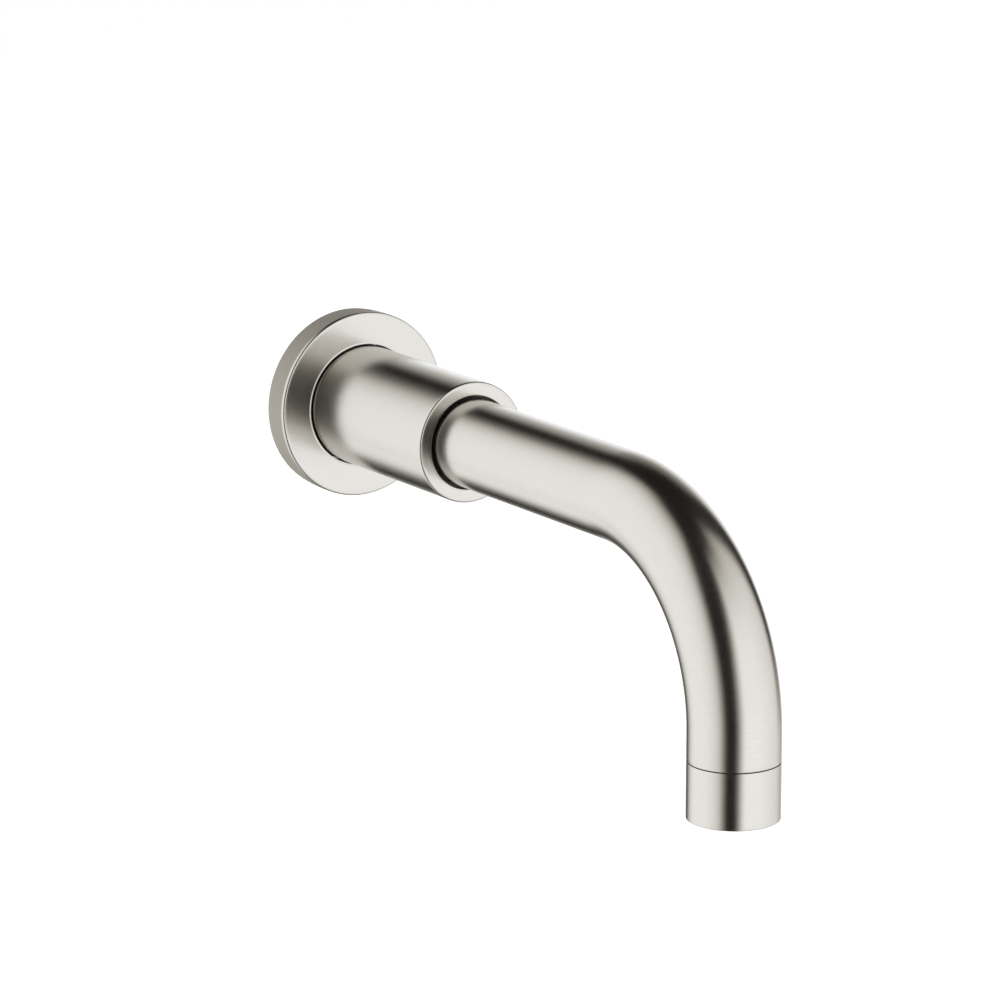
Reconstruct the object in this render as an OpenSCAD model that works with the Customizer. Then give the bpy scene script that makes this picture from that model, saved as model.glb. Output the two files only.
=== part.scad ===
// Wall mounted bath spout: a bent round tube that leaves the wall through a cover sleeve and a
// round rosette, held on a threaded wall nipple by a union nut hidden under the sleeve.
// Origin: where the inlet axis meets the finished wall. The wall is the plane y = 0, the spout
// points along -Y and its outlet points down, along -Z. All sizes are in millimetres.

/* [Spout tube] */
// Outside diameter of the spout tube
tube_d = 28; // [26:0.5:28]
// Wall thickness of the spout tube
tube_wall = 1.5; // [1:0.1:1.8]
// Distance from the wall to the middle of the outlet
reach = 215.4; // [200:0.1:260]
// Radius of the bend, on the middle of the tube
bend_r = 58.6; // [42:0.1:60]
// Height of the tube's axis above the bottom of the outlet
drop = 85; // [80:0.5:140]

/* [Cover sleeve] */
// Outside diameter of the cover sleeve
sleeve_d = 38.4; // [38.4:0.1:40]
// Distance from the wall to the sleeve's front face
sleeve_end = 74.4; // [66:0.1:78]
// Wall thickness of the cover sleeve
sleeve_wall = 1.6; // [1.4:0.05:1.6]
// Gap all round between the sleeve's mouth and the tube
mouth_gap = 1.2; // [0.3:0.1:1.6]

/* [Rosette] */
// Outside diameter of the rosette
rosette_d = 60; // [60:0.5:75]
// Thickness of the rosette
rosette_t = 10.2; // [8.5:0.1:12]
// Gap all round between the rosette's bore and the sleeve
rosette_gap = 0.4; // [0.3:0.05:0.5]

/* [Inlet and union] */
// Length of the inlet thread behind the wall face
inlet_len = 14; // [10:0.5:18]
// Width across the flats of the union nut
nut_af = 30; // [29:0.1:30]

/* [Outlet collar] */
// Height of the screw-on collar that holds the aerator
collar_h = 17.35; // [17.35:0.05:20]
// Width of the dark seam between the tube and the collar
seam_gap = 0.5; // [0.3:0.1:0.6]
// Pitch of the honeycomb in the outlet
cell_pitch = 2.5; // [2.3:0.1:3]

/* [Hidden] */

$fn = 96;
eps = 0.05;             // assembly gap between pieces that rest on each other
cut = 1;                // how far a cutting tool runs past a face
run_gap = 0.08;         // radial clearance of a sliding or turning fit
break_edge = 0.3;       // chamfer on an exposed corner

tube_r = tube_d / 2;
tube_bore_r = tube_r - tube_wall;
bend_start = reach - bend_r;
sleeve_r = sleeve_d / 2;
sleeve_bore_r = sleeve_r - sleeve_wall;
mouth_r = tube_r + mouth_gap;
rosette_r = rosette_d / 2;
rosette_bore_r = sleeve_r + rosette_gap;

// Inlet nipple: G 1/2 thread to the wall, flange, G 3/4 thread to the union nut
g_half_r = 10.48;
g_three_quarter_r = 13.22;
thread_lead = 1;
waterway_r = 6;
hex_key_af = 12;
hex_key_depth = 10;
neck_r = 9.8;
flange_r = sleeve_bore_r - 0.3;
flange_s = 1.6;
flange_t = 6;
relief_r = 12;
relief_len = 2;
union_thread_len = 12;
relief_s = flange_s + flange_t;
union_thread_s = relief_s + relief_len;
nipple_end = union_thread_s + union_thread_len;
wall_seal_r = 15;

// O-rings
o_ring_r = 1;
small_o_ring_r = 0.9;
groove_play = 0.2;
centring_ring_s = flange_s + flange_t / 2;
centring_ring_c = sleeve_bore_r - run_gap - o_ring_r;
rosette_ring_s = 5.2;
rosette_ring_c = sleeve_r + run_gap + o_ring_r;

// Union: washer, tail flange, slip ring, nut
washer_t = 2;
washer_bore_r = 8.6;
tail_flange_r = 12;
tail_flange_t = 3.4;
tail_neck_r = 10;
tail_bore_r = 8;
tail_spigot_len = 11.6;
tail_s = nipple_end + washer_t;
tail_neck_s = tail_s + tail_flange_t;
slip_t = 0.9;
nut_overlap = 9;
nut_shoulder_t = 3;
nut_travel = 9.1;
nut_s = nipple_end - nut_overlap;
nut_shoulder_s = tail_neck_s + slip_t + 2 * eps;
nut_end = nut_shoulder_s + nut_shoulder_t;
nut_bore_r = g_three_quarter_r + run_gap;
nut_shoulder_r = tail_neck_r + 0.4;
nut_corner_r = nut_af / 2 / cos(30);
nut_chamfer = 1.2;
tube_s = nut_end + nut_travel + 1.3;
braze_gap = 0.05;

// Guide bush and circlip inside the sleeve's mouth
lip_t = 3.2;
bush_len = 10.8;
bush_end = sleeve_end - lip_t - eps;
bush_s = bush_end - bush_len;
bush_rings = [2.9, 7.9];
circlip_t = 1.2;
circlip_s = bush_s - circlip_t - eps;
circlip_r = sleeve_bore_r + 0.6;
circlip_bore_r = sleeve_bore_r - 1.2;
circlip_opening = 24;
sleeve_back = 0.4;

// Rosette shell
hub_wall = 4;
rim_wall = 2.8;
face_t = 3.2;
gasket_t = 3;
gasket_gap = 0.15;

// Outlet: bush, collar, aerator cartridge
outlet_z = -drop;
collar_z = outlet_z + collar_h;
tube_end_z = collar_z + seam_gap;
bush_top_z = tube_end_z + 8.1;
outlet_thread_r = 12;
outlet_bush_bore_r = 9.5;
outlet_thread_len = 7.05;
bush_low_z = tube_end_z - outlet_thread_len;
collar_bore_r = outlet_thread_r + run_gap;
collar_lip_r = 10.7;
collar_lip_t = 1.6;
seat_r = collar_bore_r - 0.25;
aer_washer_t = 1.45;
aer_washer_z = bush_low_z - eps - aer_washer_t;
aer_top_z = aer_washer_z - eps;
aer_low_z = outlet_z + collar_lip_t + eps;
cage_bore_r = 10.6;
cage_ledge_r = 10;
cage_ledge_t = 0.5;
disc_r = cage_bore_r - 0.05;
screen_t = 0.3;
screen_rim_z = aer_top_z - 0.4;
screen_cone_r = 9.3;
screen_cone_h = 2.9;
jet_t = 1.2;
jet_z = screen_rim_z - eps - jet_t;
jet_hole_r = 0.5;
jet_rings = [[4, 8], [7.6, 16]];
spacer_t = 0.8;
spacer_bore_r = 9.9;
mixing_count = 2;
stack_step = spacer_t + screen_t + 2 * eps;
comb_t = 2.1;
comb_z = aer_low_z + cage_ledge_t + eps;
comb_wall = 0.4;
comb_clear_r = 9.4;

// Puts a shape whose axis is Z on the inlet axis, a distance s in front of the wall
module from_wall(s) {
  translate([0, -s, 0]) rotate([90, 0, 0]) children();
}

// Puts a shape whose axis is Z on the outlet axis
module on_outlet() {
  translate([0, -reach, 0]) children();
}

// Plain ring between two radii, standing on z = 0
module ring(r_in, r_out, len) {
  linear_extrude(height = len) difference() {
    circle(r = r_out);
    circle(r = r_in);
  }
}

// Round-section sealing ring centred on z = 0
module o_ring(centre_r, section_r) {
  rotate_extrude() translate([centre_r, 0]) circle(r = section_r, $fn = 32);
}

// Hexagonal prism given by its width across the flats, with a flat on top and below
module hex_prism(af, len) {
  cylinder(r = af / 2 / cos(30), h = len, $fn = 6);
}

// Turned brass nipple that screws into the fitting in the wall and carries the union
module inlet_nipple() {
  color([0.78, 0.62, 0.32]) from_wall(0) difference() {
    rotate_extrude() polygon([
      [waterway_r, -inlet_len - thread_lead],
      [g_half_r - thread_lead, -inlet_len - thread_lead],
      [g_half_r, -inlet_len],
      [g_half_r, 0],
      [neck_r, 0],
      [neck_r, flange_s],
      [flange_r, flange_s],
      [flange_r, relief_s],
      [relief_r, relief_s],
      [relief_r, union_thread_s],
      [g_three_quarter_r, union_thread_s],
      [g_three_quarter_r, nipple_end - thread_lead],
      [g_three_quarter_r - thread_lead, nipple_end],
      [waterway_r, nipple_end]
    ]);
    translate([0, 0, centring_ring_s - o_ring_r - groove_play])
      ring(centring_ring_c - o_ring_r - 0.02, flange_r + cut, 2 * (o_ring_r + groove_play));
    translate([0, 0, nipple_end - hex_key_depth])
      hex_prism(hex_key_af, hex_key_depth + cut);
  }
}

// Flat ring that seals the nipple's flange to the wall
module nipple_wall_seal() {
  color([0.15, 0.15, 0.16]) from_wall(0.1)
    ring(neck_r + 0.2, wall_seal_r, flange_s - 0.1 - eps);
}

// Ring on the nipple's flange that centres and grips the sleeve's wall end
module centring_o_ring() {
  color([0.1, 0.1, 0.1]) from_wall(centring_ring_s) o_ring(centring_ring_c, o_ring_r);
}

// Flat fibre washer pressed between the nipple and the tail flange
module union_washer() {
  color([0.45, 0.4, 0.33]) from_wall(nipple_end + eps)
    ring(washer_bore_r, tail_flange_r, washer_t - 2 * eps);
}

// Thin ring that lets the nut turn without dragging the tail flange round
module slip_ring() {
  color([0.8, 0.8, 0.82]) from_wall(tail_neck_s + eps)
    ring(tail_neck_r + 0.35, tail_flange_r - 0.05, slip_t);
}

// Hexagonal union nut, chamfered at both ends, with a shoulder behind the tail flange
module union_nut() {
  nut_len = nut_end - nut_s;
  top_r = nut_corner_r - nut_chamfer;
  color([0.8, 0.66, 0.36]) from_wall(nut_s) difference() {
    intersection() {
      hex_prism(nut_af, nut_len);
      rotate_extrude() polygon([
        [0, 0], [top_r, 0], [nut_corner_r, nut_chamfer],
        [nut_corner_r, nut_len - nut_chamfer], [top_r, nut_len], [0, nut_len]
      ]);
    }
    translate([0, 0, -cut]) cylinder(r = nut_bore_r, h = nut_shoulder_s - nut_s + cut);
    cylinder(r = nut_shoulder_r, h = nut_len + cut);
  }
}

// Turned tail brazed into the wall end of the tube, with the flange that the nut pulls on
module tail_piece() {
  spigot_end = tube_s + tail_spigot_len;
  color([0.78, 0.62, 0.32]) from_wall(0) rotate_extrude() polygon([
    [tail_bore_r, tail_s],
    [tail_flange_r, tail_s],
    [tail_flange_r, tail_neck_s],
    [tail_neck_r, tail_neck_s],
    [tail_neck_r, tube_s],
    [tube_bore_r - braze_gap, tube_s],
    [tube_bore_r - braze_gap, spigot_end],
    [tube_bore_r - 2, spigot_end],
    [tail_bore_r, spigot_end - 3]
  ]);
}

// Round tube: straight from the union, a quarter bend, and straight down to the seam
module spout_tube() {
  drop_len = -bend_r - tube_end_z;
  color([0.75, 0.72, 0.68]) union() {
    from_wall(tube_s) ring(tube_bore_r, tube_r, bend_start - tube_s);
    translate([0, -bend_start, -bend_r]) rotate([0, -90, 180])
      rotate_extrude(angle = 90) translate([bend_r, 0]) difference() {
        circle(r = tube_r);
        circle(r = tube_bore_r);
      }
    on_outlet() translate([0, 0, tube_end_z]) ring(tube_bore_r, tube_r, drop_len);
  }
}

// Threaded bush brazed into the outlet end of the tube
module outlet_bush() {
  color([0.78, 0.62, 0.32]) on_outlet() rotate_extrude() polygon([
    [outlet_bush_bore_r, bush_low_z],
    [outlet_thread_r - 0.6, bush_low_z],
    [outlet_thread_r, bush_low_z + 0.6],
    [outlet_thread_r, tube_end_z],
    [tube_bore_r - braze_gap, tube_end_z],
    [tube_bore_r - braze_gap, bush_top_z],
    [tube_bore_r - 1, bush_top_z],
    [outlet_bush_bore_r, bush_top_z - 3]
  ]);
}

// Thin black ring set back in the seam between the tube and the collar
module seam_seal() {
  color([0.06, 0.06, 0.06]) on_outlet() translate([0, 0, collar_z + eps])
    ring(outlet_thread_r + 0.1, tube_r - 0.5, seam_gap - 2 * eps);
}

// Cover sleeve: a turned tube with a lip at the mouth and a groove for the circlip
module cover_sleeve() {
  color([0.75, 0.72, 0.68]) from_wall(0) rotate_extrude() polygon([
    [sleeve_bore_r, sleeve_back],
    [sleeve_r - break_edge, sleeve_back],
    [sleeve_r, sleeve_back + break_edge],
    [sleeve_r, sleeve_end - break_edge],
    [sleeve_r - break_edge, sleeve_end],
    [mouth_r + break_edge, sleeve_end],
    [mouth_r, sleeve_end - break_edge],
    [mouth_r, sleeve_end - lip_t],
    [sleeve_bore_r, sleeve_end - lip_t],
    [sleeve_bore_r, circlip_s + circlip_t + eps],
    [circlip_r + eps, circlip_s + circlip_t + eps],
    [circlip_r + eps, circlip_s - eps],
    [sleeve_bore_r, circlip_s - eps]
  ]);
}

// Plastic bush behind the lip that keeps the sleeve centred on the tube
module guide_bush() {
  color([0.12, 0.12, 0.12]) from_wall(bush_s) difference() {
    ring(tube_r + run_gap, sleeve_bore_r - eps, bush_len);
    for (s = bush_rings)
      translate([0, 0, s - small_o_ring_r - groove_play])
        cylinder(r = tube_r + 2 * small_o_ring_r + 0.15, h = 2 * (small_o_ring_r + groove_play));
  }
}

// Two rings in the bush that hold the sleeve on the tube by friction
module guide_o_rings() {
  color([0.1, 0.1, 0.1]) for (s = bush_rings)
    from_wall(bush_s + s) o_ring(tube_r + run_gap - 0.01 + small_o_ring_r, small_o_ring_r);
}

// Spring steel circlip that keeps the bush in the sleeve, open at the bottom
module guide_circlip() {
  half = circlip_opening / 2;
  color([0.6, 0.6, 0.62]) from_wall(circlip_s) rotate([0, 0, half - 90])
    rotate_extrude(angle = 360 - circlip_opening) translate([circlip_bore_r, 0])
      square([circlip_r - circlip_bore_r, circlip_t]);
}

// Round wall rosette: a face, a rim that meets the wall and a hub with a ring groove
module rosette() {
  color([0.75, 0.72, 0.68]) from_wall(0) difference() {
    rotate_extrude() polygon([
      [rosette_bore_r, 0],
      [rosette_bore_r + hub_wall, 0],
      [rosette_bore_r + hub_wall, rosette_t - face_t],
      [rosette_r - rim_wall, rosette_t - face_t],
      [rosette_r - rim_wall, 0],
      [rosette_r, 0],
      [rosette_r, rosette_t - break_edge],
      [rosette_r - break_edge, rosette_t],
      [rosette_bore_r + 2 * break_edge, rosette_t],
      [rosette_bore_r, rosette_t - 2 * break_edge]
    ]);
    translate([0, 0, rosette_ring_s - o_ring_r - groove_play])
      cylinder(r = rosette_ring_c + o_ring_r + 0.03, h = 2 * (o_ring_r + groove_play));
  }
}

// Ring in the hub that holds the rosette on the sleeve by friction
module rosette_o_ring() {
  color([0.1, 0.1, 0.1]) from_wall(rosette_ring_s) o_ring(rosette_ring_c, o_ring_r);
}

// Foam ring in the back of the rosette that keeps splashes out of the wall
module wall_gasket() {
  color([0.2, 0.2, 0.2]) from_wall(0)
    ring(rosette_bore_r + hub_wall + gasket_gap, rosette_r - rim_wall - gasket_gap, gasket_t);
}

// Flat rubber washer between the outlet bush and the aerator cartridge
module aerator_washer() {
  color([0.12, 0.12, 0.12]) on_outlet() translate([0, 0, aer_washer_z])
    ring(outlet_bush_bore_r + 0.1, seat_r, aer_washer_t);
}

// Plastic cartridge body, with a ledge below that carries the stack
module aerator_cage() {
  color([0.86, 0.87, 0.86]) on_outlet() rotate_extrude() polygon([
    [cage_ledge_r, aer_low_z],
    [seat_r, aer_low_z],
    [seat_r, aer_top_z],
    [cage_bore_r, aer_top_z],
    [cage_bore_r, aer_low_z + cage_ledge_t],
    [cage_ledge_r, aer_low_z + cage_ledge_t]
  ]);
}

// Conical steel strainer that catches grit above the jets
module inlet_screen() {
  color([0.7, 0.71, 0.72]) on_outlet() rotate_extrude() polygon([
    [0, screen_rim_z + screen_cone_h],
    [screen_cone_r, screen_rim_z],
    [disc_r, screen_rim_z],
    [disc_r, screen_rim_z + screen_t],
    [screen_cone_r + 0.1, screen_rim_z + screen_t],
    [0, screen_rim_z + screen_cone_h + screen_t]
  ]);
}

// Plate whose small holes break the flow into jets
module jet_plate() {
  color([0.8, 0.82, 0.84]) on_outlet() translate([0, 0, jet_z]) difference() {
    cylinder(r = disc_r, h = jet_t);
    for (row = jet_rings, i = [0 : row[1] - 1])
      rotate([0, 0, (i + 0.5) * 360 / row[1]]) translate([row[0], 0, -cut])
        cylinder(r = jet_hole_r, h = jet_t + 2 * cut, $fn = 24);
  }
}

// Two steel mixing discs under the jets
module mixing_screens() {
  color([0.7, 0.71, 0.72]) on_outlet() for (i = [0 : mixing_count - 1])
    translate([0, 0, jet_z - (i + 1) * stack_step]) cylinder(r = disc_r, h = screen_t);
}

// Rings that hold the discs apart, one above each disc and one below the last
module screen_spacers() {
  color([0.86, 0.87, 0.86]) on_outlet() for (i = [0 : mixing_count])
    translate([0, 0, jet_z - eps - spacer_t - i * stack_step])
      ring(spacer_bore_r, disc_r, spacer_t);
}

// Honeycomb that straightens the stream at the outlet
module flow_straightener() {
  cell_r = (cell_pitch - comb_wall) / 2 / cos(30);
  row_step = cell_pitch * sin(60);
  rows = floor(comb_clear_r / row_step);
  color([0.9, 0.9, 0.89]) on_outlet() translate([0, 0, comb_z])
    linear_extrude(height = comb_t) difference() {
      circle(r = disc_r);
      for (j = [-rows : rows], i = [-6 : 6]) {
        x = (i + (j % 2 == 0 ? 0 : 0.5)) * cell_pitch;
        y = j * row_step;
        if (norm([x, y]) + cell_r < comb_clear_r + 0.5)
          translate([x, y]) rotate(30) circle(r = cell_r, $fn = 6);
      }
    }
}

// Screw-on collar, flush with the tube, that holds the aerator against the bush
module outlet_collar() {
  color([0.75, 0.72, 0.68]) on_outlet() rotate_extrude() polygon([
    [collar_lip_r + break_edge, outlet_z],
    [tube_r - break_edge, outlet_z],
    [tube_r, outlet_z + break_edge],
    [tube_r, collar_z - 0.15],
    [tube_r - 0.15, collar_z],
    [collar_bore_r, collar_z],
    [collar_bore_r, outlet_z + collar_lip_t],
    [collar_lip_r, outlet_z + collar_lip_t],
    [collar_lip_r, outlet_z + break_edge]
  ]);
}

inlet_nipple();
nipple_wall_seal();
centring_o_ring();
union_washer();
slip_ring();
union_nut();
tail_piece();
spout_tube();
outlet_bush();
seam_seal();
cover_sleeve();
guide_bush();
guide_o_rings();
guide_circlip();
rosette();
rosette_o_ring();
wall_gasket();
aerator_washer();
aerator_cage();
inlet_screen();
jet_plate();
mixing_screens();
screen_spacers();
flow_straightener();
outlet_collar();
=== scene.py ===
import bpy
import numpy as np
from mathutils import Matrix, Vector


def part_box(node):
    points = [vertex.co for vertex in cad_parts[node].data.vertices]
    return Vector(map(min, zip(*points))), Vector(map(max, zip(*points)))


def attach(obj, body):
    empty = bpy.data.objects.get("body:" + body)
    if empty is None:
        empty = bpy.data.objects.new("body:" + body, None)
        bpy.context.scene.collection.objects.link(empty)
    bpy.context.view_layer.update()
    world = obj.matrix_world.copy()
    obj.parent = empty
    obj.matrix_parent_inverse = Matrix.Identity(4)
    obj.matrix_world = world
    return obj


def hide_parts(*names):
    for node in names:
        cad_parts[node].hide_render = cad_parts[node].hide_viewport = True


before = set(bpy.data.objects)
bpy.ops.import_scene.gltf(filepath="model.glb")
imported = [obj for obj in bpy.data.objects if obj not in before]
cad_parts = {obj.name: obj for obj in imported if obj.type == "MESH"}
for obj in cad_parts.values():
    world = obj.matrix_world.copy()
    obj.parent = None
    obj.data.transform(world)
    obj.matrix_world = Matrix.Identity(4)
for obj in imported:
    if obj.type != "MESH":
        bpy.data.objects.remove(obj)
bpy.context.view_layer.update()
MM = 0.001
TURN = 2 * np.pi
scene = bpy.context.scene

# ---------------------------------------------------------------------------------------------
# Inlet nipple. Turned from brass bar and threaded at both ends: G 1/2 screws into the fitting in
# the wall, G 3/4 takes the union nut. A 12 mm hexagon key drives it through its own waterway.

GAS_PITCH, THREAD_DEPTH = 1.814 * MM, 1.1 * MM
INLET_END, INLET_CREST, INLET_ROOT = -15.0 * MM, 10.48 * MM, 9.4 * MM
UNION_START, UNION_END = 9.6 * MM, 21.6 * MM
UNION_CREST, UNION_ROOT = 13.22 * MM, 12.0 * MM
CHAMFER = 1.0 * MM
WATERWAY_R = 6.0 * MM
HEX_KEY, HEX_CORNER, HEX_FLOOR = 12 * MM, 6.93 * MM, 11.6 * MM
FLANGE_R, FLANGE_BACK, FLANGE_FRONT = 17.3 * MM, 1.6 * MM, 7.6 * MM
GROOVE_R, GROOVE_BACK, GROOVE_FRONT = 15.5 * MM, 3.4 * MM, 5.8 * MM
UNDERCUT_R = 9.8 * MM
FLANK_STEEPNESS, CREST_FLAT = 1.35, 0.12
ON_THREAD, ON_FLAT = 0.02 * MM, 0.05 * MM


def filleted(corners, steps=5):
    """Closed outline with rounded corners. Each corner is (r, t, fillet radius): the arc runs
    between the points where a circle of that radius touches the two sides that meet there."""
    points = np.array([c[:2] for c in corners], float)
    out = []
    for i, corner in enumerate(corners):
        here, radius = points[i], corner[2]
        before, after = points[i - 1] - here, points[(i + 1) % len(points)] - here
        before, after = before / np.linalg.norm(before), after / np.linalg.norm(after)
        half = np.arccos(np.clip(before @ after, -1, 1)) / 2
        if radius <= 0 or abs(half - np.pi / 2) < 1e-6:
            out.append(here[None])
            continue
        back = radius / np.tan(half)
        centre = here + (before + after) / np.linalg.norm(before + after) * radius / np.sin(half)
        start, end = here + before * back - centre, here + after * back - centre
        swing = np.arctan2(start[0] * end[1] - start[1] * end[0], start @ end)
        a = np.linspace(0, swing, steps)
        arc = np.stack([start[0] * np.cos(a) - start[1] * np.sin(a),
                        start[0] * np.sin(a) + start[1] * np.cos(a)], 1)
        out.append(centre + arc)
    return np.concatenate(out)


def stretched(outline, longest):
    """Splits the outline's long sides evenly, so that no step is longer than longest."""
    out = []
    for here, there in zip(outline, np.roll(outline, -1, axis=0)):
        n = max(1, int(np.ceil(np.linalg.norm(there - here) / longest)))
        out.append(here + (there - here) * np.arange(n)[:, None] / n)
    return np.concatenate(out)


def on_inlet_axis(r, t, angle):
    """Point at distance t from the wall, r from the inlet axis, angle counted from +X to +Z."""
    return np.stack([r * np.cos(angle), -t, r * np.sin(angle)], -1)


def solid_of_turning(name, outline, place=on_inlet_axis, segments=192, cut=None):
    """Carries a closed (r, t) outline round an axis: vertex (i, j) is outline point i at angle
    j, with r changed by cut(r, t, angle) where the piece has a thread or flats. The grid
    closes on itself both ways. UV u runs along the outline and v round the axis, in metres, and
    the attribute grain is (ring cos, along, ring sin), which has no seam."""
    n = len(outline)
    angle = np.arange(segments) * TURN / segments
    r = np.repeat(outline[:, :1], segments, 1)
    t = np.repeat(outline[:, 1:], segments, 1)
    around = np.repeat(angle[None], n, 0)
    if cut is not None:
        r = cut(r, t, around)
    xyz = place(r, t, around).reshape(-1, 3)
    step = np.linalg.norm(np.roll(outline, -1, axis=0) - outline, axis=1)
    along = np.concatenate([[0], np.cumsum(step)])
    i, j = np.meshgrid(np.arange(n), np.arange(segments), indexing="ij")
    i2, j2 = (i + 1) % n, (j + 1) % segments
    quads = np.stack([i * segments + j, i * segments + j2,
                      i2 * segments + j2, i2 * segments + j], -1)
    corners = xyz[quads.reshape(-1, 4)]
    volume = np.einsum("ij,ij->", corners[:, 0], np.cross(corners[:, 1], corners[:, 2]))
    volume += np.einsum("ij,ij->", corners[:, 0], np.cross(corners[:, 2], corners[:, 3]))
    order = [0, 1, 2, 3] if volume > 0 else [3, 2, 1, 0]
    ring = float(outline[:, 0].max())
    u = np.stack([along[i], along[i], along[i + 1], along[i + 1]], -1)[..., order]
    v = np.stack([j, j + 1, j + 1, j], -1)[..., order] * (TURN / segments) * ring
    mesh = bpy.data.meshes.new(name)
    mesh.from_pydata(xyz, [], quads.reshape(-1, 4)[:, order])
    mesh.polygons.foreach_set("use_smooth", np.ones(len(mesh.polygons), bool))
    uv = mesh.uv_layers.new(name="brushing")
    uv.data.foreach_set("uv", np.stack([u, v], -1).reshape(-1).astype(np.float32))
    grain = np.stack([ring * np.cos(around), np.repeat(along[:n, None], segments, 1),
                      ring * np.sin(around)], -1)
    lie = mesh.attributes.new("grain", "FLOAT_VECTOR", "POINT")
    lie.data.foreach_set("vector", grain.reshape(-1).astype(np.float32))
    piece = bpy.data.objects.new(name, mesh)
    scene.collection.objects.link(piece)
    return piece


def thread(crest, pitch, depth, low, high, inside=False):
    """Cut that turns a plain cylinder into a right-hand thread: a rounded V, a little flattened at
    crest and root, whose phase is t / pitch - angle / turn. It fades in over one turn at each end,
    and cuts outward when inside is true."""
    def cut(r, t, angle):
        on = np.abs(r - crest) < ON_THREAD
        phase = (t / pitch - angle / TURN) % 1
        v = 0.5 - 0.5 * np.cos(TURN * phase)
        v = np.clip(FLANK_STEEPNESS * v - CREST_FLAT, 0, 1)
        fade = np.clip((t - low) / pitch, 0, 1) * np.clip((high - t) / pitch, 0, 1)
        return np.where(on, r + (depth if inside else -depth) * v * fade, r)
    return cut


def both(first, second):
    """One cut after another, the second told apart by the radius that it looks for."""
    return lambda r, t, angle: second(first(r, t, angle), t, angle)


def hexagon(af, radius, low, high):
    """Cut that makes flats af apart out of the wall of that radius between low and high."""
    def cut(r, t, angle):
        off = (angle + np.pi / 6) % (np.pi / 3) - np.pi / 6
        on = (np.abs(r - radius) < ON_FLAT) & (t > low) & (t < high)
        return np.where(on, af / 2 / np.cos(off), r)
    return cut


def node_adder(tree):
    """Empties a node tree and gives back a short way to add a node with its inputs linked."""
    tree.nodes.clear()

    def add(kind, inputs=None, **settings):
        made = tree.nodes.new("ShaderNode" + kind)
        for key, value in settings.items():
            setattr(made, key, value)
        for key, value in (inputs or {}).items():
            if isinstance(value, bpy.types.NodeSocket):
                tree.links.new(value, made.inputs[key])
            else:
                made.inputs[key].default_value = value
        return made

    return add


def new_material(name):
    """An empty node material, and the way to add nodes to it."""
    material = bpy.data.materials.new(name)
    material.use_nodes = True
    return material, node_adder(material.node_tree)


def streaks(add, vector, across, length, detail=3.0):
    """Noise drawn out along the tool's path: about across wide and length long, in metres."""
    density = (1 / length, 1 / across, 1 / length)
    scaled = add("VectorMath", {0: vector, 1: density}, operation="MULTIPLY")
    return add("TexNoise", {"Vector": scaled.outputs[0], "Scale": 1.0, "Detail": detail,
                            "Roughness": 0.55}).outputs["Fac"]


def spread(add, value, low, high):
    """Maps a 0 to 1 noise, which keeps near its middle, to the range from low to high."""
    return add("MapRange", {"Value": value, "From Min": 0.25, "From Max": 0.75,
                            "To Min": low, "To Max": high}).outputs["Result"]


def turned_brass(name, colour, dark):
    """Lathe-turned brass: close tool rings, a dull bloom of tarnish and greasy thumb marks."""
    material, add = new_material(name)
    grain = add("Attribute", attribute_name="grain").outputs["Vector"]
    place = add("TexCoord").outputs["Object"]
    rings = streaks(add, grain, 0.12 * MM, 20 * MM, 2.0)
    bloom = add("TexNoise", {"Vector": place, "Scale": 160.0, "Detail": 5.0}).outputs["Fac"]
    tint = add("Mix", {"Factor": spread(add, bloom, 0.0, 0.7), "A": (*colour, 1), "B": (*dark, 1)},
               data_type="RGBA").outputs["Result"]
    rough = add("Math", {0: spread(add, rings, 0.2, 0.36), 1: spread(add, bloom, -0.03, 0.08)},
                operation="ADD").outputs[0]
    bump = add("Bump", {"Strength": 0.35, "Distance": 0.00002, "Height": rings}).outputs["Normal"]
    shader = add("BsdfPrincipled", {"Base Color": tint, "Metallic": 1.0, "Roughness": rough,
                                    "Normal": bump})
    add("OutputMaterial", {"Surface": shader.outputs["BSDF"]})
    return material


brass = turned_brass("turned_brass", (0.78, 0.58, 0.27), (0.55, 0.38, 0.17))
inlet_first, union_last = INLET_END + CHAMFER, UNION_END - CHAMFER
nipple_outline = stretched(filleted([
    (WATERWAY_R, INLET_END, 0.3 * MM), (INLET_ROOT, INLET_END, 0.2 * MM),
    (INLET_CREST, inlet_first, 0), (INLET_CREST, 0.0, 0),
    (UNDERCUT_R, 0.0, 0.1 * MM), (UNDERCUT_R, FLANGE_BACK, 0.1 * MM),
    (FLANGE_R, FLANGE_BACK, 0.3 * MM), (FLANGE_R, GROOVE_BACK, 0.15 * MM),
    (GROOVE_R, GROOVE_BACK, 0.1 * MM), (GROOVE_R, GROOVE_FRONT, 0.1 * MM),
    (FLANGE_R, GROOVE_FRONT, 0.15 * MM), (FLANGE_R, FLANGE_FRONT, 0.3 * MM),
    (UNION_ROOT, FLANGE_FRONT, 0.2 * MM), (UNION_ROOT, UNION_START, 0.2 * MM),
    (UNION_CREST, UNION_START, 0), (UNION_CREST, union_last, 0),
    (UNION_CREST - CHAMFER, UNION_END, 0.2 * MM), (HEX_CORNER, UNION_END, 0),
    (HEX_CORNER, HEX_FLOOR, 0), (WATERWAY_R, HEX_FLOOR, 0),
], 4), 0.16 * MM)
nipple_cut = both(thread(INLET_CREST, GAS_PITCH, THREAD_DEPTH, inlet_first, 0.0),
                  thread(UNION_CREST, GAS_PITCH, THREAD_DEPTH, UNION_START, union_last))
key_socket = hexagon(HEX_KEY, HEX_CORNER, HEX_FLOOR - 0.1 * MM, UNION_END + 0.1 * MM)
nipple = solid_of_turning("inlet_nipple_threaded", nipple_outline, segments=120,
                          cut=both(nipple_cut, key_socket))
nipple.data.materials.append(brass)
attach(nipple, "wall_fitting")
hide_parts("inlet_nipple")

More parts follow.
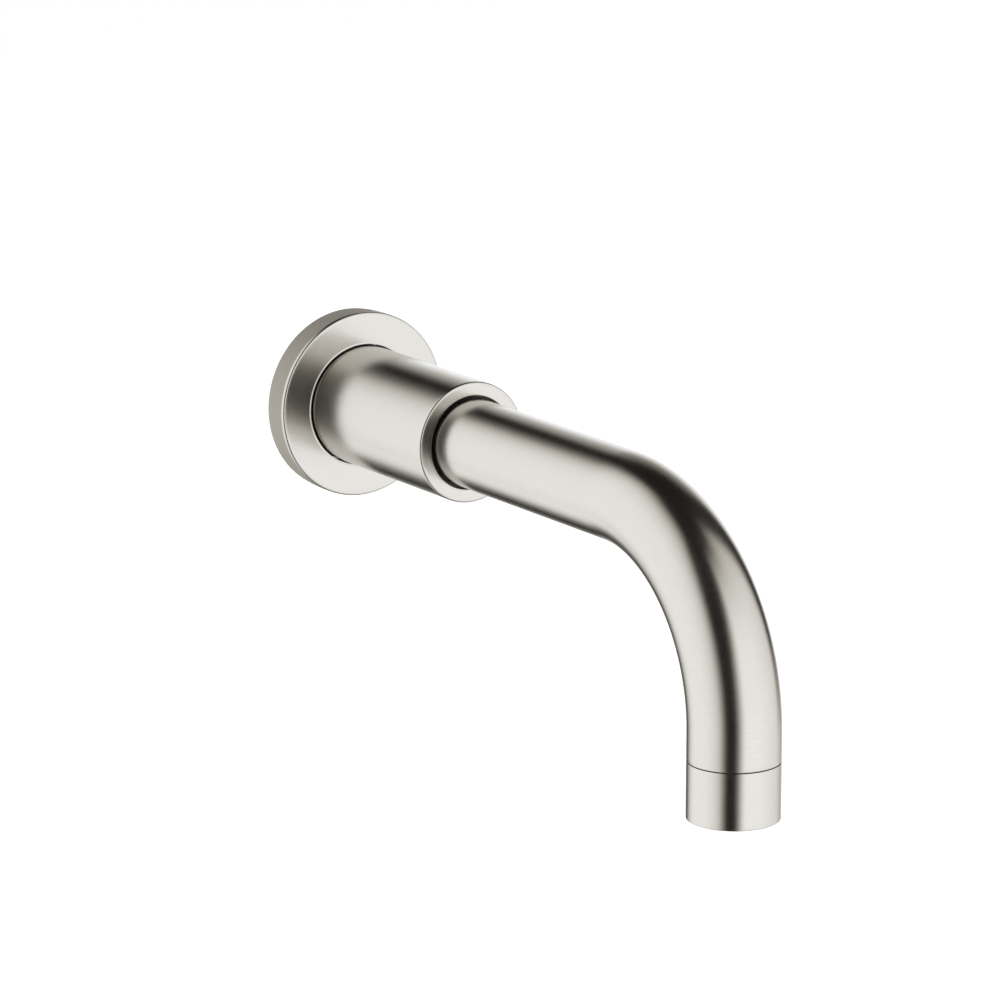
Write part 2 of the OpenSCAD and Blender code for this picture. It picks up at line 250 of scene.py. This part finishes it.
# ---------------------------------------------------------------------------------------------
# Rubber rings and washers. Moulded nitrile O-rings and flat rings seal the nipple to the wall and
# grip the sleeve, the bush and the rosette; the union washer is punched from pressed fibre sheet.


def paint(material, slot, *nodes):
    """Gives CAD nodes, whose shape is already right, their finished material."""
    for node in nodes:
        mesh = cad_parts[node].data
        mesh.materials.clear()
        mesh.materials.append(material)


def black_rubber():
    """Moulded nitrile: nearly black, dull, with a fine talc bloom and a soft mould grain."""
    material, add = new_material("black_rubber")
    place = add("TexCoord").outputs["Object"]
    bloom = add("TexNoise", {"Vector": place, "Scale": 700.0, "Detail": 6.0}).outputs["Fac"]
    tint = add("Mix", {"Factor": spread(add, bloom, 0.0, 1.0), "A": (0.012, 0.012, 0.013, 1),
                       "B": (0.035, 0.034, 0.033, 1)}, data_type="RGBA").outputs["Result"]
    bump = add("Bump", {"Strength": 0.3, "Distance": 0.00004, "Height": bloom}).outputs["Normal"]
    shader = add("BsdfPrincipled", {"Base Color": tint, "Roughness": spread(add, bloom, 0.45, 0.7),
                                    "Normal": bump})
    add("OutputMaterial", {"Surface": shader.outputs["BSDF"]})
    return material


def pressed_fibre():
    """Compressed fibre sheet: brown, matt, with short dark and pale fibres all through it."""
    material, add = new_material("pressed_fibre")
    place = add("TexCoord").outputs["Object"]
    fibres = add("TexVoronoi", {"Vector": place, "Scale": 2600.0}).outputs["Distance"]
    cloud = add("TexNoise", {"Vector": place, "Scale": 900.0, "Detail": 4.0}).outputs["Fac"]
    tint = add("Mix", {"Factor": spread(add, cloud, 0.0, 1.0), "A": (0.12, 0.075, 0.04, 1),
                       "B": (0.26, 0.19, 0.12, 1)}, data_type="RGBA").outputs["Result"]
    bump = add("Bump", {"Strength": 0.4, "Distance": 0.00005, "Height": fibres}).outputs["Normal"]
    shader = add("BsdfPrincipled", {"Base Color": tint, "Roughness": 0.85, "Normal": bump})
    add("OutputMaterial", {"Surface": shader.outputs["BSDF"]})
    return material


rubber = black_rubber()
paint(rubber, "black_rubber", "nipple_wall_seal", "centring_o_ring", "guide_o_rings",
      "rosette_o_ring", "aerator_washer")
paint(pressed_fibre(), "washer_fibre", "union_washer")

# ---------------------------------------------------------------------------------------------
# Union nut and slip ring. The nut is milled from 30 mm hexagon brass bar, chamfered at both ends
# and threaded G 3/4; a thin spring steel ring lets its shoulder turn on the tail's flange.

nut_low, nut_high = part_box("union_nut")
NUT_BACK, NUT_FRONT = -nut_high.y, -nut_low.y
NUT_AF = 30 * MM
NUT_BORE, NUT_THREAD_DEPTH = 13.30 * MM, 0.9 * MM
NUT_HOLE, NUT_SHOULDER, NUT_RELIEF = 10.4 * MM, 3.0 * MM, 2.0 * MM
NUT_CORNER = NUT_AF / 2 / np.cos(np.pi / 6)
NUT_CHAMFER, CHAMFER_SLOPE = 1.2 * MM, 1.4


def nut_shape(r, t, angle):
    """The bar's hexagon, cut down by a cone at each end: r is the smaller of the flat's distance
    and the cone's radius, which leaves the curved chamfer of a turned nut on every corner."""
    off = (angle + np.pi / 6) % (np.pi / 3) - np.pi / 6
    flat = NUT_AF / 2 / np.cos(off)
    end = np.minimum(t - NUT_BACK, NUT_FRONT - t)
    cone = NUT_CORNER - NUT_CHAMFER + end * CHAMFER_SLOPE
    outer = r > NUT_BORE + NUT_THREAD_DEPTH
    return np.where(outer, np.minimum(r, np.minimum(flat, cone)), r)


nut_outline = stretched(filleted([
    (NUT_BORE, NUT_BACK, 0), (NUT_CORNER, NUT_BACK, 0.2 * MM),
    (NUT_CORNER, NUT_FRONT, 0.2 * MM), (NUT_HOLE, NUT_FRONT, 0.25 * MM),
    (NUT_HOLE, NUT_FRONT - NUT_SHOULDER, 0.1 * MM), (NUT_BORE, NUT_FRONT - NUT_SHOULDER, 0),
], 4), 0.2 * MM)
nut_thread = thread(NUT_BORE, GAS_PITCH, NUT_THREAD_DEPTH, NUT_BACK - GAS_PITCH,
                    NUT_FRONT - NUT_SHOULDER - NUT_RELIEF, inside=True)
nut = solid_of_turning("union_nut_milled", nut_outline, segments=240,
                       cut=both(nut_thread, nut_shape))
nut.data.materials.append(turned_brass("milled_brass", (0.80, 0.61, 0.30), (0.58, 0.41, 0.19)))
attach(nut, "union_nut")
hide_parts("union_nut")


def spring_steel():
    """Rolled spring steel strip: grey, with fine straight rolling lines and a thin oil film."""
    material, add = new_material("spring_steel")
    place = add("TexCoord").outputs["Object"]
    lines = streaks(add, place, 0.1 * MM, 6 * MM)
    oil = add("TexNoise", {"Vector": place, "Scale": 220.0, "Detail": 3.0}).outputs["Fac"]
    tint = add("Mix", {"Factor": spread(add, oil, 0.0, 1.0), "A": (0.42, 0.42, 0.43, 1),
                       "B": (0.56, 0.56, 0.55, 1)}, data_type="RGBA").outputs["Result"]
    bump = add("Bump", {"Strength": 0.2, "Distance": 0.00002, "Height": lines}).outputs["Normal"]
    shader = add("BsdfPrincipled", {"Base Color": tint, "Metallic": 1.0, "Normal": bump,
                                    "Roughness": spread(add, lines, 0.22, 0.38)})
    add("OutputMaterial", {"Surface": shader.outputs["BSDF"]})
    return material


steel = spring_steel()
paint(steel, "stainless", "slip_ring", "guide_circlip")

# ---------------------------------------------------------------------------------------------
# Tail piece. A turned brass tail with the flange that the union nut pulls on, and a neck which the
# nut slides along; its spigot is brazed into the wall end of the spout tube.

tail_low, tail_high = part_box("tail_piece")
TAIL_FACE, TAIL_END = -tail_high.y, -tail_low.y
TUBE_START = -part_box("spout_tube")[1].y
TAIL_BORE, TAIL_MOUTH, TAIL_NECK = 8.0 * MM, 10.5 * MM, 10.0 * MM
TAIL_FLANGE_R, TAIL_FLANGE_T = 12.0 * MM, 3.4 * MM
SPIGOT_R, SPIGOT_FUNNEL = 12.45 * MM, 3.0 * MM
tail_outline = filleted([
    (TAIL_BORE, TAIL_FACE, 0.3 * MM), (TAIL_FLANGE_R, TAIL_FACE, 0.3 * MM),
    (TAIL_FLANGE_R, TAIL_FACE + TAIL_FLANGE_T, 0.3 * MM),
    (TAIL_NECK, TAIL_FACE + TAIL_FLANGE_T, 0.1 * MM),
    (TAIL_NECK, TUBE_START, 0), (SPIGOT_R, TUBE_START, 0),
    (SPIGOT_R, TAIL_END, 0.1 * MM), (TAIL_MOUTH, TAIL_END, 0.1 * MM),
    (TAIL_BORE, TAIL_END - SPIGOT_FUNNEL, 0.3 * MM),
], 5)
tail = solid_of_turning("tail_piece_turned", stretched(tail_outline, 1 * MM))
tail.data.materials.append(brass)
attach(tail, "spout")
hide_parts("tail_piece")

# ---------------------------------------------------------------------------------------------
# Spout tube. Drawn 28 mm tube, mandrel-bent through a quarter turn, then brushed round its girth
# with a fine abrasive band and finished in satin nickel, so the scratch lines ring the tube.

TUBE_R, TUBE_BORE = 14.0 * MM, 12.5 * MM
spout_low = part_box("spout_tube")[0]
REACH = -spout_low.y - TUBE_R
BEND_R = 58.6 * MM
BEND_START = REACH - BEND_R
TUBE_END_Z = spout_low.z
BEND_LENGTH = BEND_R * np.pi / 2
SEAM_TRIM, SEAM_EDGE = 0.08 * MM, 0.07 * MM
TUBE_LENGTH = BEND_START + BEND_LENGTH + (-BEND_R - TUBE_END_Z) + SEAM_TRIM


def along_tube(r, t, angle):
    """Point at length t along the tube's middle line, counted from the wall. The line runs out
    straight, turns down through a quarter circle and drops straight: its point is (y, z), its
    outward direction is (out_y, out_z), and the ring adds r cos along X and r sin outward."""
    swing = np.clip((t - BEND_START) / BEND_R, 0, np.pi / 2)
    ahead = np.clip(t, None, BEND_START)
    below = np.clip(t - BEND_START - BEND_LENGTH, 0, None)
    y = -(ahead + BEND_R * np.sin(swing))
    z = BEND_R * (np.cos(swing) - 1) - below
    out_y, out_z = -np.sin(swing), np.cos(swing)
    return np.stack([r * np.cos(angle), y + r * np.sin(angle) * out_y,
                     z + r * np.sin(angle) * out_z], -1)


# Painted shade: the rosette rim's tint is a little darker than the brushed nickel and stands in for
# shade on the rim.
TURNED_RIM_SHADE_TINT = (0.555, 0.52, 0.46, 1)
TURNED_ROUGHER = 0.60


def brushed_nickel(name, tint_low, tint_high, rough_low, rough_high, lines):
    """Satin nickel rubbed along rings with a fine band: hair-fine scratches of 1.6 mm among broader
    ones of 5 mm, and a soft cloud of handling marks. Where the rim attribute is 1 the surface is as
    the lathe left it, duller, and its colour is painted a little darker as shade on the rim."""
    material, add = new_material(name)
    grain = add("Attribute", attribute_name="grain").outputs["Vector"]
    turned = add("Attribute", attribute_name="turned").outputs["Fac"]
    place = add("TexCoord").outputs["Object"]
    fine = streaks(add, grain, 0.07 * MM, 1.6 * MM, 3.0)
    broad = streaks(add, grain, 0.22 * MM, 5.0 * MM, 2.0)
    cloud = add("TexNoise", {"Vector": place, "Scale": 70.0, "Detail": 5.0}).outputs["Fac"]
    lay = add("Mix", {"Factor": 0.35, "A": fine, "B": broad}, data_type="FLOAT").outputs["Result"]
    tint = add("Mix", {"Factor": spread(add, lay, 0.0, 1.0), "A": (*tint_low, 1),
                       "B": (*tint_high, 1)}, data_type="RGBA").outputs["Result"]
    # Painted shade: on the marked rim the colour turns to the darker rim tint.
    dull_and_shaded = add("Mix", {"Factor": turned, "A": tint, "B": TURNED_RIM_SHADE_TINT}, data_type="RGBA")
    scratched = spread(add, lay, rough_low, rough_high)
    handled = add("Math", {0: scratched, 1: spread(add, cloud, -0.01, 0.015)}, operation="ADD")
    rough = add("Math", {0: turned, 1: TURNED_ROUGHER, 2: handled.outputs[0]},
                operation="MULTIPLY_ADD").outputs[0]
    bump = add("Bump", {"Strength": lines, "Distance": 0.00002, "Height": lay}).outputs["Normal"]
    lie = add("Tangent", direction_type="UV_MAP", uv_map="brushing").outputs["Tangent"]
    shader = add("BsdfPrincipled", {"Base Color": dull_and_shaded.outputs["Result"], "Metallic": 1.0,
                                    "Roughness": rough, "Anisotropic": 0.2, "Tangent": lie,
                                    "Normal": bump})
    add("OutputMaterial", {"Surface": shader.outputs["BSDF"]})
    return material


nickel = brushed_nickel("brushed_nickel", (0.545, 0.515, 0.468), (0.62, 0.59, 0.545),
                        0.165, 0.25, 0.35)
tube_outline = stretched(filleted([
    (TUBE_BORE, TUBE_START, 0.2 * MM), (TUBE_R, TUBE_START, 0.2 * MM),
    (TUBE_R, TUBE_LENGTH, SEAM_EDGE), (TUBE_BORE, TUBE_LENGTH, 0.05 * MM),
], 4), 1.2 * MM)
tube = solid_of_turning("spout_tube_brushed", tube_outline, place=along_tube, segments=160)
tube.data.materials.append(nickel)
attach(tube, "spout")
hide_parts("spout_tube")

# ---------------------------------------------------------------------------------------------
# Cover sleeve. A turned nickel-finished brass sleeve with broken edges and a lip at its mouth. It
# slides on a black acetal bush, which a circlip holds behind the lip.

sleeve_low, sleeve_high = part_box("cover_sleeve")
SLEEVE_BACK, SLEEVE_FRONT = -sleeve_high.y, -sleeve_low.y
SLEEVE_R, SLEEVE_BORE, SLEEVE_MOUTH = sleeve_high.x, 17.6 * MM, TUBE_R + 0.85 * MM
CLIP_GROOVE = SLEEVE_BORE + 0.6 * MM
CLIP_BACK, CLIP_FRONT = -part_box("guide_circlip")[1].y, -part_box("guide_circlip")[0].y
LIP = 3.2 * MM
sleeve_outline = filleted([
    (SLEEVE_BORE, SLEEVE_BACK, 0.2 * MM), (SLEEVE_R, SLEEVE_BACK, 0.3 * MM),
    (SLEEVE_R, SLEEVE_FRONT, 0.75 * MM), (SLEEVE_MOUTH, SLEEVE_FRONT, 0.35 * MM),
    (SLEEVE_MOUTH, SLEEVE_FRONT - LIP, 0.1 * MM), (SLEEVE_BORE, SLEEVE_FRONT - LIP, 0.1 * MM),
    (SLEEVE_BORE, CLIP_FRONT, 0), (CLIP_GROOVE, CLIP_FRONT, 0),
    (CLIP_GROOVE, CLIP_BACK, 0), (SLEEVE_BORE, CLIP_BACK, 0),
], 9)
sleeve = solid_of_turning("cover_sleeve_brushed", stretched(sleeve_outline, 1 * MM), segments=240)
sleeve.data.materials.append(nickel)
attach(sleeve, "sleeve")
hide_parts("cover_sleeve")


def acetal(name, colour, shade):
    """Moulded acetal: waxy, a little light scattered inside, with faint flow marks."""
    material, add = new_material(name)
    place = add("TexCoord").outputs["Object"]
    flow = add("TexNoise", {"Vector": place, "Scale": 240.0, "Detail": 5.0,
                            "Distortion": 1.5}).outputs["Fac"]
    grain = add("TexNoise", {"Vector": place, "Scale": 3200.0, "Detail": 2.0}).outputs["Fac"]
    tint = add("Mix", {"Factor": spread(add, flow, 0.0, 1.0), "A": (*colour, 1),
                       "B": (*shade, 1)}, data_type="RGBA").outputs["Result"]
    bump = add("Bump", {"Strength": 0.15, "Distance": 0.00003, "Height": grain}).outputs["Normal"]
    shader = add("BsdfPrincipled", {"Base Color": tint, "Roughness": spread(add, flow, 0.34, 0.46),
                                    "Subsurface Weight": 0.08, "Subsurface Scale": 0.0006,
                                    "Normal": bump})
    add("OutputMaterial", {"Surface": shader.outputs["BSDF"]})
    return material


paint(acetal("black_acetal", (0.030, 0.030, 0.031), (0.042, 0.041, 0.040)), "black_plastic",
      "guide_bush")

# ---------------------------------------------------------------------------------------------
# Rosette and wall gasket. The rosette is turned from brass plate, faced in rings and brushed, with
# a rounded rim and a fine raised bead round the bore; a foam ring fills its back.

rose_low, rose_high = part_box("rosette")
ROSE_R, ROSE_T = rose_high.x, -rose_low.y
ROSE_BORE = SLEEVE_R + 0.4 * MM
HUB_R, RIM_BORE, POCKET_T = ROSE_BORE + 4.0 * MM, ROSE_R - 2.8 * MM, ROSE_T - 3.2 * MM
RING_LOW, RING_HIGH, RING_R = 4.0 * MM, 6.4 * MM, ROSE_BORE + 1.7 * MM
BEAD, BEAD_FOOT, BEAD_TOP = 0.10 * MM, ROSE_BORE + 0.62 * MM, ROSE_BORE + 0.26 * MM
ROSE_EDGE, RIM_DEPTH, RIM_SET_BACK, RIM_CROWN = 0.8 * MM, 0.5 * MM, 0.4 * MM, 0.13 * MM
rosette_outline = filleted([
    (ROSE_BORE, 0, 0.2 * MM), (HUB_R, 0, 0.15 * MM), (HUB_R, POCKET_T, 0.3 * MM),
    (RIM_BORE, POCKET_T, 0.3 * MM), (RIM_BORE, 0, 0.15 * MM), (ROSE_R - RIM_SET_BACK, 0, 0.3 * MM),
    (ROSE_R - RIM_CROWN, 2.5 * MM, 0), (ROSE_R, 6.0 * MM, 0), (ROSE_R, ROSE_T - BEAD, ROSE_EDGE),
    (BEAD_FOOT, ROSE_T - BEAD, 0.2 * MM), (BEAD_TOP, ROSE_T, 0.08 * MM),
    (ROSE_BORE, ROSE_T, 0.15 * MM),
    (ROSE_BORE, RING_HIGH, 0.1 * MM), (RING_R, RING_HIGH, 0.1 * MM),
    (RING_R, RING_LOW, 0.1 * MM), (ROSE_BORE, RING_LOW, 0.1 * MM),
], 9)
rosette = solid_of_turning("rosette_brushed", stretched(rosette_outline, 0.8 * MM), segments=300)
# The rim is marked for its rougher turned finish and for a colour painted darker as shade.
rose_xyz = np.array([v.co[:] for v in rosette.data.vertices])
on_rim = np.hypot(rose_xyz[:, 0], rose_xyz[:, 2]) > ROSE_R - RIM_DEPTH
on_rim &= -rose_xyz[:, 1] < ROSE_T - BEAD - ROSE_EDGE - 0.01 * MM
turned = rosette.data.attributes.new("turned", "FLOAT", "POINT")
turned.data.foreach_set("value", on_rim.astype(np.float32))
rosette.data.materials.append(nickel)
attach(rosette, "rosette")
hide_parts("rosette")


def cell_foam():
    """Closed cell foam: dark grey, quite matt, with cut-open bubbles of about 0.4 mm, painted
    darker towards each bubble's middle as shade in its hollow.
    """
    material, add = new_material("cell_foam")
    place = add("TexCoord").outputs["Object"]
    bubbles_and_shade = add("TexVoronoi", {"Vector": place, "Scale": 2400.0}).outputs["Distance"]
    # Painted shade: the tint darkens where the bump sinks into a bubble.
    tint = add("Mix", {"Factor": bubbles_and_shade, "A": (0.02, 0.02, 0.022, 1), "B": (0.10, 0.10, 0.105, 1)},
               data_type="RGBA").outputs["Result"]
    bump = add("Bump", {"Strength": 0.8, "Distance": 0.00012, "Height": bubbles_and_shade}).outputs["Normal"]
    shader = add("BsdfPrincipled", {"Base Color": tint, "Roughness": 0.92, "Normal": bump})
    add("OutputMaterial", {"Surface": shader.outputs["BSDF"]})
    return material


gasket_low, gasket_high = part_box("wall_gasket")
FOAM_PLAY = 0.15 * MM
FOAM_IN, FOAM_OUT = HUB_R + FOAM_PLAY, RIM_BORE - FOAM_PLAY
gasket_outline = stretched(filleted([
    (FOAM_IN, -gasket_high.y, 0.2 * MM), (FOAM_OUT, -gasket_high.y, 0.2 * MM),
    (FOAM_OUT, -gasket_low.y, 0.4 * MM), (FOAM_IN, -gasket_low.y, 0.4 * MM),
], 4), 0.5 * MM)
gasket = solid_of_turning("wall_gasket_foam", gasket_outline, segments=240)
gasket.data.materials.append(cell_foam())
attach(gasket, "rosette")
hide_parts("wall_gasket")

# ---------------------------------------------------------------------------------------------
# Outlet bush and collar. A brass bush brazed into the tube's end has an M24x1 thread; the collar
# screws on over it, flush with the tube, and a thin black ring fills the seam between them.

bush_low, bush_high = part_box("outlet_bush")
collar_low, collar_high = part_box("outlet_collar")
OUTLET_PITCH, OUTLET_CREST, OUTLET_ROOT = 1.0 * MM, 12.0 * MM, 11.4 * MM
OUTLET_DEPTH, OUTLET_BORE, OUTLET_MOUTH = 0.6 * MM, 9.5 * MM, 11.5 * MM
COLLAR_BORE, COLLAR_LIP, COLLAR_LIP_T = 12.08 * MM, 10.7 * MM, 1.6 * MM
COLLAR_DEPTH, COLLAR_THREAD = 0.55 * MM, 7.0 * MM


def on_outlet_axis(r, t, angle):
    """Point at height t, r from the outlet's upright axis, angle counted from +X to -Y."""
    return np.stack([r * np.cos(angle), -REACH - r * np.sin(angle), t], -1)


bush_outline = stretched(filleted([
    (OUTLET_BORE, bush_low.z, 0.2 * MM), (OUTLET_ROOT, bush_low.z, 0.15 * MM),
    (OUTLET_CREST, bush_low.z + OUTLET_DEPTH, 0), (OUTLET_CREST, TUBE_END_Z, 0),
    (SPIGOT_R, TUBE_END_Z, 0), (SPIGOT_R, bush_high.z, 0.1 * MM),
    (OUTLET_MOUTH, bush_high.z, 0.1 * MM), (OUTLET_BORE, bush_high.z - SPIGOT_FUNNEL, 0.3 * MM),
], 4), 0.12 * MM)
bush = solid_of_turning("outlet_bush_threaded", bush_outline, place=on_outlet_axis, segments=144,
                        cut=thread(OUTLET_CREST, OUTLET_PITCH, OUTLET_DEPTH,
                                   bush_low.z + OUTLET_DEPTH / 2, TUBE_END_Z))
bush.data.materials.append(brass)
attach(bush, "spout")
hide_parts("outlet_bush")

seam_low, seam_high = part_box("seam_seal")
SEAM_IN, SEAM_OUT = 12.1 * MM, TUBE_R - 0.15 * MM
SEAM_LOW_Z, SEAM_HIGH_Z = seam_low.z + SEAM_TRIM, seam_high.z - SEAM_TRIM
seam_outline = filleted([
    (SEAM_IN, SEAM_LOW_Z, 0.04 * MM), (SEAM_OUT, SEAM_LOW_Z, 0.09 * MM),
    (SEAM_OUT, SEAM_HIGH_Z, 0.09 * MM), (SEAM_IN, SEAM_HIGH_Z, 0.04 * MM),
], 5)
seam = solid_of_turning("seam_seal_moulded", seam_outline, place=on_outlet_axis, segments=160)
seam.data.materials.append(rubber)
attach(seam, "spout")
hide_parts("seam_seal")

collar_outline = stretched(filleted([
    (COLLAR_LIP, collar_low.z, 0.3 * MM), (TUBE_R, collar_low.z, 0.35 * MM),
    (TUBE_R, collar_high.z + SEAM_TRIM, SEAM_EDGE), (COLLAR_BORE, collar_high.z + SEAM_TRIM, 0),
    (COLLAR_BORE, collar_low.z + COLLAR_LIP_T, 0),
    (COLLAR_LIP, collar_low.z + COLLAR_LIP_T, 0.1 * MM),
], 6), 0.16 * MM)
collar = solid_of_turning("outlet_collar_brushed", collar_outline, place=on_outlet_axis,
                          segments=192,
                          cut=thread(COLLAR_BORE, OUTLET_PITCH, COLLAR_DEPTH,
                                     collar_high.z - COLLAR_THREAD,
                                     collar_high.z + OUTLET_PITCH, inside=True))
collar.data.materials.append(nickel)
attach(collar, "collar")
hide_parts("outlet_collar")

# ---------------------------------------------------------------------------------------------
# Aerator. A moulded cartridge drops into the collar: strainer, jet plate, two discs of woven
# stainless wire on spacer rings, and a honeycomb that straightens the stream.

aerator_plastic = acetal("pale_acetal", (0.62, 0.64, 0.64), (0.52, 0.54, 0.55))
paint(aerator_plastic, "pale_plastic", "aerator_cage", "jet_plate", "screen_spacers",
      "flow_straightener")
paint(steel, "steel_mesh", "inlet_screen", "mixing_screens")

# ---------------------------------------------------------------------------------------------
# Studio. Two curved white walls stand left and right of the spout and leave a dark opening in
# front, a dark ceiling and a dark strip behind. Two white sheets stand low down, and a narrow flag
# stands behind on the right. Each curve is a list of (degrees, brightness) points.

STUDIO_WALLS = {
    "left wall": {
        "centre": -118, "narrowing": 0.00007,
        "across": [(-76, 0), (-66, 0.12), (-59, 0.34), (-52, 0.62), (-45, 0.78), (-37, 0.92),
                   (-28, 1.0), (10, 1.0), (27, 0.93), (37, 0.84), (48, 0.67), (57, 0.26), (65, 0)],
        "up": [(-75, 0.55), (-50, 0.75), (-35, 1.0), (-20, 1.05), (30, 1.0), (45, 0.91),
               (55, 0.79), (62, 0.60), (76, 0)]},
    "right wall": {
        "centre": 40, "narrowing": 0.00011,
        "across": [(-72, 0), (-66, 0.18), (-59, 0.55), (-54, 0.87), (-47, 1.04), (-10, 1.02),
                   (20, 0.93), (40, 0.83), (50, 0.74), (57, 0.32), (63, 0)],
        "up": [(-75, 0.55), (-50, 0.75), (-35, 0.96), (-17, 1.08), (0, 1.04), (28, 0.99),
               (45, 0.81), (53, 0.67), (60, 0.45), (70, 0)]},
    "low right sheet": {
        "centre": 60, "narrowing": 0,
        "across": [(-80, 0), (-60, 1.0), (30, 0.89), (45, 0.68), (60, 0.38), (72, 0)],
        "up": [(-75, 0.5), (-45, 0.75), (-28, 1.0), (-18, 1.0), (-2, 0.0)]},
    "low left sheet": {
        "centre": -150, "narrowing": 0,
        "across": [(-42, 0), (-31, 0.18), (-22, 0.80), (-13, 1.0), (20, 1.0), (40, 0)],
        "up": [(-75, 0.5), (-50, 0.75), (-34, 1.0), (-26, 0.97), (-20, 0)]},
    "flag behind": {
        "centre": 136, "narrowing": 0,
        "across": [(-21, 0), (-14, 0.9), (10, 1.0), (18, 1.0), (28, 0)],
        "up": [(-36, 0), (-26, 0.30), (-14, 0.85), (2, 1.0), (10, 0.88), (16, 0.68), (21, 0.45),
               (28, 0.24), (44, 0)]},
}
STUDIO_DARK = (0.015, 0.0145, 0.0138, 1)
STUDIO_MIDDLE = (0.64, 0.625, 0.585, 1)
STUDIO_WHITE = (1.285, 1.33, 1.375, 1)


def studio_world():
    """The studio as seen from the object. Azimuth is counted in degrees from straight out of the
    wall round to the right; a wall's brightness is its curve across, which narrows with the
    square of the height, times its curve up."""
    world = bpy.data.worlds.new("studio")
    world.use_nodes = True
    add = node_adder(world.node_tree)

    def math(operation, *values):
        return add("Math", dict(enumerate(values)), operation=operation).outputs[0]

    def curve(value, points):
        """Straight lines between (degrees, brightness) points, level before and after them."""
        low, high = points[0][0], points[-1][0]
        place = add("MapRange", {"Value": value, "From Min": low, "From Max": high})
        ramp = add("ValToRGB", {"Fac": place.outputs["Result"]})
        stops = ramp.color_ramp.elements
        for k, (at, level) in enumerate(points):
            where = (at - low) / (high - low)
            stop = stops[k] if k == 0 else stops[-1] if k == len(points) - 1 else stops.new(where)
            stop.color = (level / 2, level / 2, level / 2, 1)
        return math("MULTIPLY", ramp.outputs["Color"], 2.0)

    sides = add("SeparateXYZ", {0: add("TexCoord").outputs["Generated"]}).outputs
    azimuth = math("DEGREES", math("ARCTAN2", sides[0], math("MULTIPLY", sides[1], -1.0)))
    height = math("DEGREES", math("ARCSINE", sides[2]))
    height_squared = math("POWER", math("MAXIMUM", height, 0.0), 2.0)
    light = None
    for wall in STUDIO_WALLS.values():
        off = math("WRAP", math("SUBTRACT", azimuth, wall["centre"]), 180.0, -180.0)
        narrower = math("MULTIPLY_ADD", height_squared, wall["narrowing"], 1.0)
        window = math("MULTIPLY", curve(math("MULTIPLY", off, narrower), wall["across"]),
                      curve(height, wall["up"]))
        light = window if light is None else math("MAXIMUM", light, window)
    halves = [add("MapRange", {"Value": light, "From Min": a, "From Max": b}, clamp=top).outputs[0]
              for a, b, top in ((0.0, 0.5, True), (0.5, 1.0, False))]
    low_half = add("Mix", {"Factor": halves[0], "A": STUDIO_DARK, "B": STUDIO_MIDDLE},
                   data_type="RGBA").outputs["Result"]
    upper = math("MAXIMUM", halves[1], 0.0)
    colour = add("Mix", {"Factor": upper, "A": low_half, "B": STUDIO_WHITE}, data_type="RGBA",
                 clamp_factor=False).outputs["Result"]
    seen = add("LightPath").outputs["Is Camera Ray"]
    shown = add("Mix", {"Factor": seen, "A": colour, "B": (1, 1, 1, 1)},
                data_type="RGBA").outputs["Result"]
    add("OutputWorld", {"Surface": add("Background", {"Color": shown}).outputs[0]})
    scene.world = world


studio_world()

FLOOR_Z, FLOOR_REACH = -2.0, 12.0
floor_mesh = bpy.data.meshes.new("floor")
side = np.linspace(-FLOOR_REACH, FLOOR_REACH, 3)
grid_x, grid_y = np.meshgrid(side, side, indexing="ij")
grid = np.stack([grid_x, grid_y, np.full_like(grid_x, FLOOR_Z)], -1).reshape(-1, 3)
floor_mesh.from_pydata(grid, [], [(i * 3 + j, i * 3 + 3 + j, i * 3 + 4 + j, i * 3 + 1 + j)
                                  for i in range(2) for j in range(2)])
floor = bpy.data.objects.new("floor", floor_mesh)
scene.collection.objects.link(floor)
floor_material, floor_add = new_material("pale_floor")
floor_shader = floor_add("BsdfPrincipled", {"Base Color": (0.9, 0.9, 0.9, 1), "Roughness": 0.9,
                                            "Emission Color": (1, 1, 1, 1),
                                            "Emission Strength": 0.74})
floor_add("OutputMaterial", {"Surface": floor_shader.outputs["BSDF"]})
floor_mesh.materials.append(floor_material)
floor.visible_glossy = False

# ---------------------------------------------------------------------------------------------
# Camera. A long lens stands in front and to the left of the spout, a little above it, and looks
# slightly past the rosette so that the outlet hangs in the right half of the frame.

CAMERA_AZIMUTH, CAMERA_HEIGHT = np.radians(-33.13), np.radians(13.90)
CAMERA_DISTANCE = 1.6603
AIM_RIGHT, AIM_UP = 0.0494, -0.0330
backward = Vector((np.sin(CAMERA_AZIMUTH) * np.cos(CAMERA_HEIGHT),
                   -np.cos(CAMERA_AZIMUTH) * np.cos(CAMERA_HEIGHT), np.sin(CAMERA_HEIGHT)))
rightward = Vector((np.cos(CAMERA_AZIMUTH), np.sin(CAMERA_AZIMUTH), 0))
upward = backward.cross(rightward)
lens = bpy.data.cameras.new("camera")
lens.lens = 184.86
lens.sensor_width = 36
lens.clip_end = 50
camera = bpy.data.objects.new("camera", lens)
scene.collection.objects.link(camera)
camera.matrix_world = Matrix((
    (rightward.x, upward.x, backward.x, 0), (rightward.y, upward.y, backward.y, 0),
    (rightward.z, upward.z, backward.z, 0), (0, 0, 0, 1)))
camera.location = backward * CAMERA_DISTANCE + rightward * AIM_RIGHT + upward * AIM_UP
scene.camera = camera
scene.view_settings.view_transform = "Standard"
